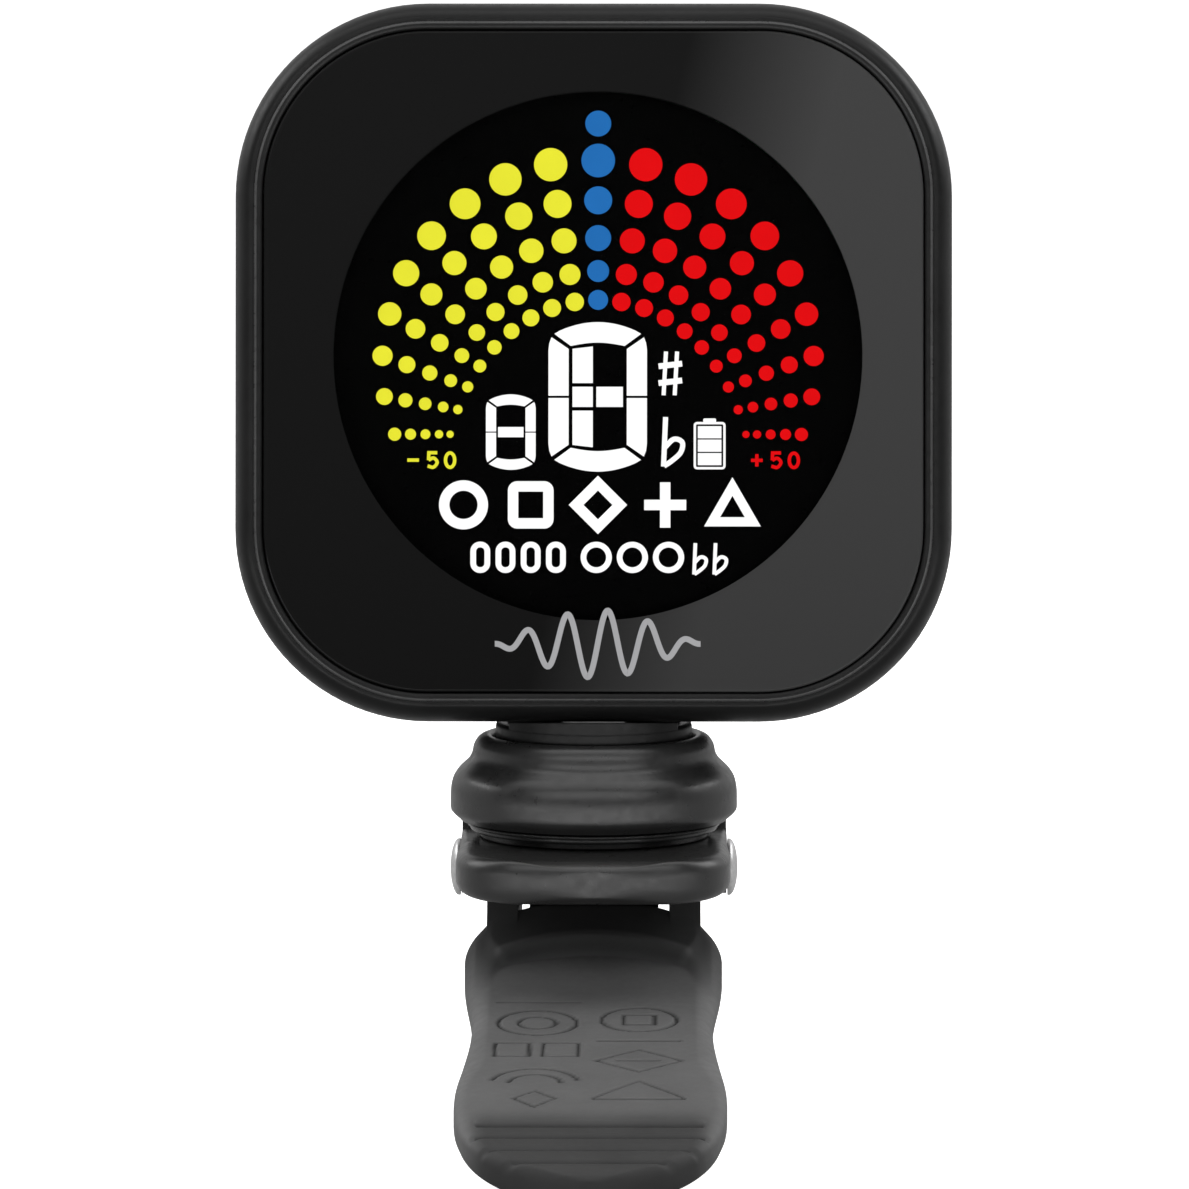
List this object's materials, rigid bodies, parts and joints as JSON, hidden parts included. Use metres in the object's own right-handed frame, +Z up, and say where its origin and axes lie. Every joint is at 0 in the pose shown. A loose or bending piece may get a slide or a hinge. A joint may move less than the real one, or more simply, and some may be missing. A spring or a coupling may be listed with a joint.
{
  "type": "clip on tuner",
  "caption": "Clip-on instrument tuner: rounded square display head on a tilting, swivelling neck over a sprung clip with padded jaws and a ribbed finger paddle.",
  "frame": {"origin": "middle of the upper jaw pad's gripping face", "axes": "+Z up, out of the back of the upper jaw; the display and the finger levers face -Y, and the jaws point to +Y"},
  "size_m": [0.0428, 0.069, 0.066],
  "materials": {
    "satin_black": "satin",
    "gloss_black": "gloss",
    "dark_grey": "matt",
    "smoked_lens": "gloss, dark tint",
    "display": "gloss",
    "white_diffuser": "matt",
    "rubber": "matt",
    "circuit_board": "solder mask",
    "cell_foil": "satin",
    "brass": "bright",
    "plated_steel": "satin",
    "pale_steel": "satin"
  },
  "bodies": {
    "clip_body": {"upper_lever": "satin_black", "upper_jaw_pad": "rubber", "swivel_base": "gloss_black", "swivel_socket": "satin_black", "friction_ring": "rubber", "base_screw_left": "plated_steel", "base_screw_right": "plated_steel", "pivot_pin": "pale_steel", "pivot_pin_cap": "pale_steel", "torsion_spring": "plated_steel"},
    "lower_lever_body": {"lower_lever": "satin_black", "lower_jaw_pad": "rubber"},
    "neck": {"swivel_turret": "satin_black", "tilt_screw": "plated_steel", "tilt_nut": "plated_steel", "tilt_washer_left": "plated_steel", "tilt_washer_right": "plated_steel"},
    "head": {"front_bezel": "satin_black", "display_lens": "smoked_lens", "lens_gasket": "rubber", "display_frame": "dark_grey", "display_panel": "display", "backlight": "white_diffuser", "circuit_board": "circuit_board", "tuner_chip": "dark_grey", "battery_cell": "cell_foil", "vibration_sensor": "brass", "charging_port": "plated_steel", "power_switch": "plated_steel", "mode_switch": "plated_steel", "pitch_switch": "plated_steel", "rear_cover": "satin_black", "cover_screw_top_left": "plated_steel", "cover_screw_top_right": "plated_steel", "cover_screw_bottom_left": "plated_steel", "cover_screw_bottom_right": "plated_steel"},
    "power_key": {"power_button": "dark_grey"},
    "mode_key": {"mode_button": "dark_grey"},
    "pitch_key": {"pitch_button": "dark_grey"}
  },
  "joints": [
    {"name": "clip_open", "type": "hinge", "parent": "clip_body", "child": "lower_lever_body", "pos_m": [0, -0.023, -0.00015], "axis": [-1, 0, 0], "range_deg": [0, 22], "stiffness_Nm_per_rad": 0.12, "springref_deg": -51.57, "deforming": ["torsion_spring"]},
    {"name": "neck_swivel", "type": "hinge", "parent": "clip_body", "child": "neck", "pos_m": [0, -0.025, 0.009], "axis": [0, 0, 1], "continuous": true},
    {"name": "head_tilt", "type": "hinge", "parent": "neck", "child": "head", "pos_m": [0, -0.0226, 0.0133], "axis": [-1, 0, 0], "range_deg": [0, 75]},
    {"name": "power_press", "type": "slide", "parent": "head", "child": "power_key", "axis": [0, -0.9936, 0.1132], "range_m": [0, 0.0004], "stiffness_N_per_m": 400, "springref_m": -0.0005},
    {"name": "mode_press", "type": "slide", "parent": "head", "child": "mode_key", "axis": [0, -0.9936, 0.1132], "range_m": [0, 0.0004], "stiffness_N_per_m": 400, "springref_m": -0.0005},
    {"name": "pitch_press", "type": "slide", "parent": "head", "child": "pitch_key", "axis": [0, -0.9936, 0.1132], "range_m": [0, 0.0004], "stiffness_N_per_m": 400, "springref_m": -0.0005}
  ]
}
